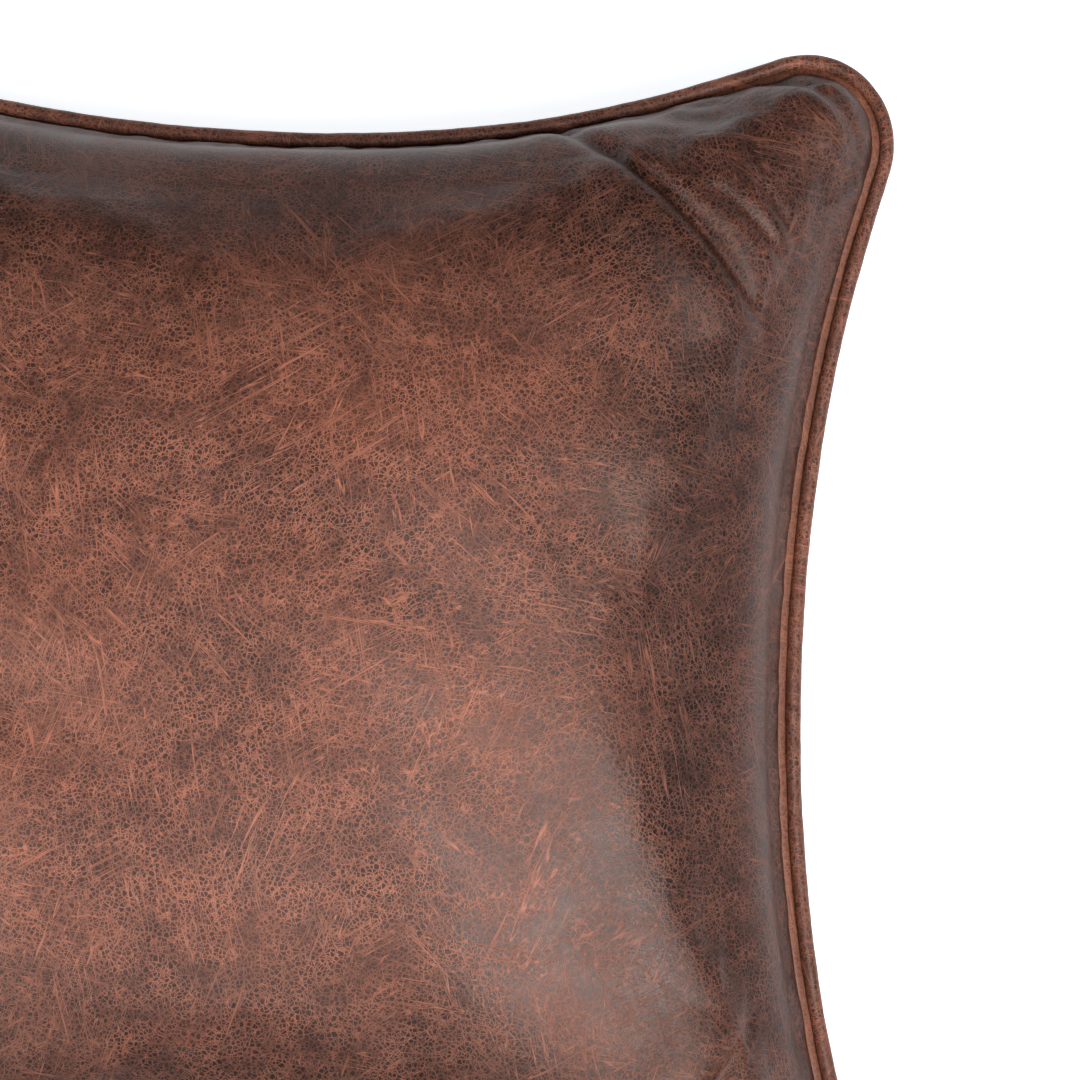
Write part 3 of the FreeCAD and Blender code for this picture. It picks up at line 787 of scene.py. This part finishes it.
def leather_material(name, tone=1.0, wear=0.0):
    """Waxed, pulled-up leather: dark brown, with a pale crackle and long fine scratches.

    It is darker towards the seams: painted shade where the crown slopes away from the light. wear
    is how far raised edges are rubbed pale.
    """
    material, tree, shader = new_material(name)
    vector = object_vector(tree)
    patches = noise(tree, vector, 9.0, 4.0, 0.6, 0.6)
    blotches = noise(tree, vector, 34.0, 4.0, 0.62, 0.4)
    grain = noise(tree, vector, 420.0, 3.0, 0.6)
    tone_value = maths(tree, "ADD", maths(tree, "MULTIPLY", patches, 0.62),
                       maths(tree, "MULTIPLY", blotches, 0.38))
    dark = tuple(c * tone for c in (0.010, 0.0050, 0.0042))
    middle = tuple(c * tone for c in (0.046, 0.0180, 0.0130))
    light = tuple(c * tone for c in (0.105, 0.039, 0.024))
    base = ramp(tree, tone_value, [(0.34, dark), (0.50, middle), (0.66, light)])
    base = mix(tree, maths(tree, "MULTIPLY", grain, 0.5), base, tuple(c * tone for c in
               (0.018, 0.009, 0.007)))
    axes = tree.nodes.new("ShaderNodeSeparateXYZ")
    tree.links.new(vector, axes.inputs[0])
    # Painted shade: the base colour darkens from the middle towards every edge, where the crown
    # slopes away from the light
    reach = maths(tree, "MAXIMUM", maths(tree, "ABSOLUTE", axes.outputs["X"]),
                  maths(tree, "ABSOLUTE", axes.outputs["Y"]))
    reach = maths(tree, "ADD", reach, maths(tree, "MULTIPLY", patches, 0.05))
    base = mix(tree, 1.0, base, ramp(tree, reach, [(0.125, 1.0), (0.198, 0.30)]), "MULTIPLY")
    fine = crackle(tree, vector, 520.0, 0.058)
    coarse = crackle(tree, mapped(tree, vector, (1, 1, 1), (0.3, 0.2, 0.9)), 250.0, 0.034)
    veins = maths(tree, "MAXIMUM", maths(tree, "MULTIPLY", fine, 0.82),
                  maths(tree, "MULTIPLY", coarse, 0.70))
    where = ramp(tree, noise(tree, vector, 60.0, 4.0, 0.7), [(0.34, 0.30), (0.62, 1.0)])
    veins = maths(tree, "MULTIPLY", veins, where)
    scratches = None
    for number, angle in enumerate((0.15, 0.75, 1.35, 1.95, 2.6)):
        lines = hairlines(tree, vector, angle, number * 0.37)
        gate = ramp(tree, noise(tree, mapped(tree, vector, (1, 1, 1), (0, 0, 0),
                                             (number * 0.31, 0, 0)), 16.0, 3.0),
                    [(0.46, 0.0), (0.58, 1.0)])
        lines = maths(tree, "MULTIPLY", lines, gate)
        scratches = lines if scratches is None else maths(tree, "MAXIMUM", scratches, lines)
    marks = maths(tree, "MAXIMUM", maths(tree, "MULTIPLY", veins, 0.80),
                  maths(tree, "MULTIPLY", scratches, 0.66))
    pale = tuple(c * tone for c in (0.430, 0.160, 0.098))
    # Painted shade: the pale marks darken towards the edges as well
    pale_in_painted_shade = tuple(c * 0.46 for c in pale)
    colour = mix(tree, marks, base, ramp(tree, reach, [(0.125, pale), (0.198, pale_in_painted_shade)]))
    if wear:
        geometry = tree.nodes.new("ShaderNodeNewGeometry")
        edge = ramp(tree, geometry.outputs["Pointiness"], [(0.5, 0.0), (0.56, 1.0)])
        rubbed = maths(tree, "MULTIPLY", edge, wear)
        colour = mix(tree, rubbed, colour, (0.24, 0.10, 0.06))
    tree.links.new(colour, shader.inputs["Base Color"])
    gloss = ramp(tree, blotches, [(0.3, 0.40), (0.7, 0.52)])
    tree.links.new(maths(tree, "ADD", gloss, maths(tree, "MULTIPLY", marks, 0.12)),
                   shader.inputs["Roughness"])
    shader.inputs["IOR"].default_value = 1.5
    shader.inputs["Specular IOR Level"].default_value = 0.29
    pebbles = tree.nodes.new("ShaderNodeTexVoronoi")
    pebbles.inputs["Scale"].default_value = 620.0
    tree.links.new(vector, pebbles.inputs["Vector"])
    normal = bump(tree, pebbles.outputs["Distance"], 0.10 * MM, 0.35)
    normal = bump(tree, marks, 0.12 * MM, 0.75, normal)
    normal = bump(tree, noise(tree, vector, 95.0, 4.0, 0.6), 0.6 * MM, 0.28, normal)
    tree.links.new(normal, shader.inputs["Normal"])
    return material


def weave_material(name, colour, scale, roughness=0.85, sheen=0.15):
    """Woven or spun fibre: two crossing sets of threads with uneven colour, and painted shade
    between the threads.
    """
    material, tree, shader = new_material(name)
    vector = object_vector(tree)
    heights = []
    for axis in (0, 1):
        wave = tree.nodes.new("ShaderNodeTexWave")
        wave.bands_direction = "XYZ"[axis]
        wave.inputs["Scale"].default_value = scale
        wave.inputs["Distortion"].default_value = 0.6
        tree.links.new(vector, wave.inputs["Vector"])
        heights.append(wave.outputs["Fac"])
    threads = maths(tree, "MAXIMUM", *heights)
    uneven = noise(tree, vector, scale * 0.6, 3.0)
    # Painted shade: darker where the threads dip, between them; the noise adds uneven colour
    shade = maths(tree, "MULTIPLY", threads, maths(tree, "ADD", uneven, 0.4))
    dark = tuple(c * 0.55 for c in colour)
    tree.links.new(ramp(tree, shade, [(0.1, dark), (0.9, colour)]), shader.inputs["Base Color"])
    shader.inputs["Roughness"].default_value = roughness
    shader.inputs["Sheen Weight"].default_value = sheen
    tree.links.new(bump(tree, threads, 0.15 * MM, 0.5), shader.inputs["Normal"])
    return material


def nylon_material(name, colour):
    """Moulded nylon with a faint unevenness."""
    material, tree, shader = new_material(name)
    vector = object_vector(tree)
    value = noise(tree, vector, 900.0, 2.0)
    tree.links.new(ramp(tree, value, [(0.3, tuple(c * 0.7 for c in colour)), (0.7, colour)]),
                   shader.inputs["Base Color"])
    tree.links.new(ramp(tree, value, [(0.3, 0.32), (0.7, 0.45)]), shader.inputs["Roughness"])
    tree.links.new(bump(tree, value, 0.03 * MM, 0.3), shader.inputs["Normal"])
    return material


def metal_material(name):
    """Antique brass: tarnished darker and lighter in uneven patches."""
    material, tree, shader = new_material(name)
    vector = object_vector(tree)
    tarnish = noise(tree, vector, 260.0, 4.0, 0.65)
    colour = ramp(tree, tarnish, [(0.32, (0.10, 0.065, 0.035)), (0.55, (0.26, 0.18, 0.09)),
                                  (0.75, (0.45, 0.33, 0.17))])
    tree.links.new(colour, shader.inputs["Base Color"])
    shader.inputs["Metallic"].default_value = 1.0
    tree.links.new(ramp(tree, tarnish, [(0.3, 0.48), (0.75, 0.26)]), shader.inputs["Roughness"])
    brushed = noise(tree, mapped(tree, vector, (90, 90, 2400)), 1.0, 2.0)
    tree.links.new(bump(tree, brushed, 0.02 * MM, 0.35), shader.inputs["Normal"])
    return material


def floor_material():
    """A plain pale floor, bright enough to stay white."""
    material, tree, shader = new_material("floor_pale")
    shader.inputs["Base Color"].default_value = (0.55, 0.56, 0.58, 1)
    shader.inputs["Roughness"].default_value = 0.9
    shader.inputs["Emission Color"].default_value = (0.94, 0.97, 1.0, 1)
    shader.inputs["Emission Strength"].default_value = 0.93
    return material


def give_material(name, material):
    """Puts a material on every slot of a CAD node."""
    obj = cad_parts[name]
    if not obj.material_slots:
        obj.data.materials.append(material)
    for entry in obj.material_slots:
        entry.material = material


# Camera, lights and floor

def camera():
    """Looks down on the upper right quarter of the front from a little below and to the right."""
    distance = 2.0
    aim = Vector((110.5 * MM, 51.5 * MM, SEAM_HEIGHT))
    away = Vector((math.tan(math.radians(3.5)), math.tan(math.radians(-4.5)), 1)).normalized()
    place = aim + away * distance
    forward = (aim - place).normalized()
    right = forward.cross(Vector((0, 1, 0))).normalized()
    up = right.cross(forward)
    roll = math.radians(1.75)
    turned_right = right * math.cos(roll) + up * math.sin(roll)
    turned_up = up * math.cos(roll) - right * math.sin(roll)
    data = bpy.data.cameras.new("camera")
    data.lens = 163.5
    data.sensor_width = 36
    data.clip_end = 50
    obj = bpy.data.objects.new("camera", data)
    axes = Matrix((turned_right, turned_up, -forward)).transposed()
    obj.matrix_world = Matrix.Translation(place) @ axes.to_4x4()
    bpy.context.scene.collection.objects.link(obj)
    bpy.context.scene.camera = obj


def area_light(name, place, aim, size, power, colour=(1, 1, 1)):
    """A soft rectangular light."""
    data = bpy.data.lights.new(name, "AREA")
    data.shape = "RECTANGLE"
    data.size, data.size_y = size
    data.energy = power
    data.color = colour
    obj = bpy.data.objects.new(name, data)
    direction = Vector(aim) - Vector(place)
    obj.rotation_euler = direction.to_track_quat("-Z", "Y").to_euler()
    obj.location = place
    bpy.context.scene.collection.objects.link(obj)


def surroundings():
    """A pale floor, a dim sky that is lighter at the horizon, and two soft lights."""
    floor = mesh_object("floor", [(-6, -6, 0), (6, -6, 0), (6, 6, 0), (-6, 6, 0)], [(0, 1, 2, 3)],
                        floor_material(), smooth=False)
    world = bpy.data.worlds.new("studio")
    world.use_nodes = True
    tree = world.node_tree
    background = tree.nodes["Background"]
    direction = tree.nodes.new("ShaderNodeTexCoord").outputs["Generated"]
    split = tree.nodes.new("ShaderNodeSeparateXYZ")
    tree.links.new(direction, split.inputs[0])
    sky = ramp(tree, split.outputs["Z"], [(0.0, (0.33, 0.36, 0.43)), (0.09, (0.13, 0.135, 0.15)),
                                          (0.5, (0.09, 0.09, 0.095))])
    tree.links.new(sky, background.inputs["Color"])
    background.inputs["Strength"].default_value = 0.85
    bpy.context.scene.world = world
    area_light("key", (0.95, -0.60, 2.0), (0.14, -0.08, 0.1), (0.28, 1.4), 82, (1.0, 0.90, 0.86))
    area_light("side", (-1.7, -0.9, 1.8), (0, 0, 0.1), (1.0, 1.0), 51, (1.0, 0.97, 0.94))
    bpy.context.scene.view_settings.view_transform = "Standard"


# Assembly

def cover():
    """The leather panels and the welt."""
    leather = leather_material("leather_cover")
    # The welt's leather is a lighter copy of the cover's: partly the welt's own paler colour,
    # partly painted light in place of a light on its right side
    welt_leather = leather_material("leather_welt", tone=1.9, wear=0.35)
    front, back = base_panel(1), base_panel(-1)
    skin, moves = swelling(front, back)
    panels = {1: front, -1: back}
    for side, node_name in ((1, "front_panel"), (-1, "back_panel")):
        piece = finished_panel(side, panels[side], skin, moves, leather)
        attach(piece, "pillow")
        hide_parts(node_name)
    edge = welt(welt_leather)
    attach(edge, "pillow")
    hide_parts("welt_cover")
    core = cord_core(weave_material("piping_cord", (0.70, 0.66, 0.58), 300.0))
    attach(core, "pillow")
    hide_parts("welt_cord")
    threads = seam_threads(weave_material("seam_thread", (0.055, 0.035, 0.025), 900.0))
    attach(threads, "pillow")
    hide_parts("seam_stitching")


def zip_pieces():
    """The chain's loops and the hem's stitches."""
    nylon = nylon_material("zip_coil_nylon", (0.030, 0.020, 0.015))
    thread = weave_material("topstitch_thread", (0.075, 0.045, 0.03), 900.0, 0.6)
    rows = [
        (coil_teeth("zip_teeth_front", CHAIN_HEIGHT + CHAIN_HALF_SLOT, COIL_TOP, 0.25, nylon),
         "zip_coil_front", "zip_coil"),
        (coil_teeth("zip_teeth_back", COIL_FOOT, CHAIN_HEIGHT - CHAIN_HALF_SLOT, 0.75, nylon),
         "zip_coil_back", "zip_coil"),
        (stitches("hem_stitches", HEM_STITCH_HEIGHT, HEM_OFFSET - STITCH_PROUD, thread),
         "zip_topstitching", "thread"),
    ]
    for piece, node_name, slot_name in rows:
        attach(piece, "pillow")
        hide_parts(node_name)


def node_materials():
    """Materials of the CAD nodes that stay as they are."""
    tape = weave_material("zip_tape_weave", (0.032, 0.022, 0.017), 700.0)
    brass = metal_material("antique_brass")
    cotton = weave_material("case_cotton", (0.78, 0.76, 0.72), 450.0)
    sewing = weave_material("sewing_thread", (0.055, 0.035, 0.025), 900.0)
    fibre = weave_material("filling_fibre", (0.85, 0.85, 0.83), 90.0, 0.95, 0.4)
    wanted = {
        "zip_tape_front": tape, "zip_tape_back": tape,
        "zip_top_stops": brass, "zip_bottom_stop": brass,
        "zip_slider": brass, "zip_pull_tab": brass,
        "insert_case_front": cotton, "insert_case_back": cotton,
        "insert_seam_stitching": sewing, "insert_fill": fibre,
    }
    for name, material in wanted.items():
        give_material(name, material)


camera()
surroundings()
cover()
zip_pieces()
node_materials()
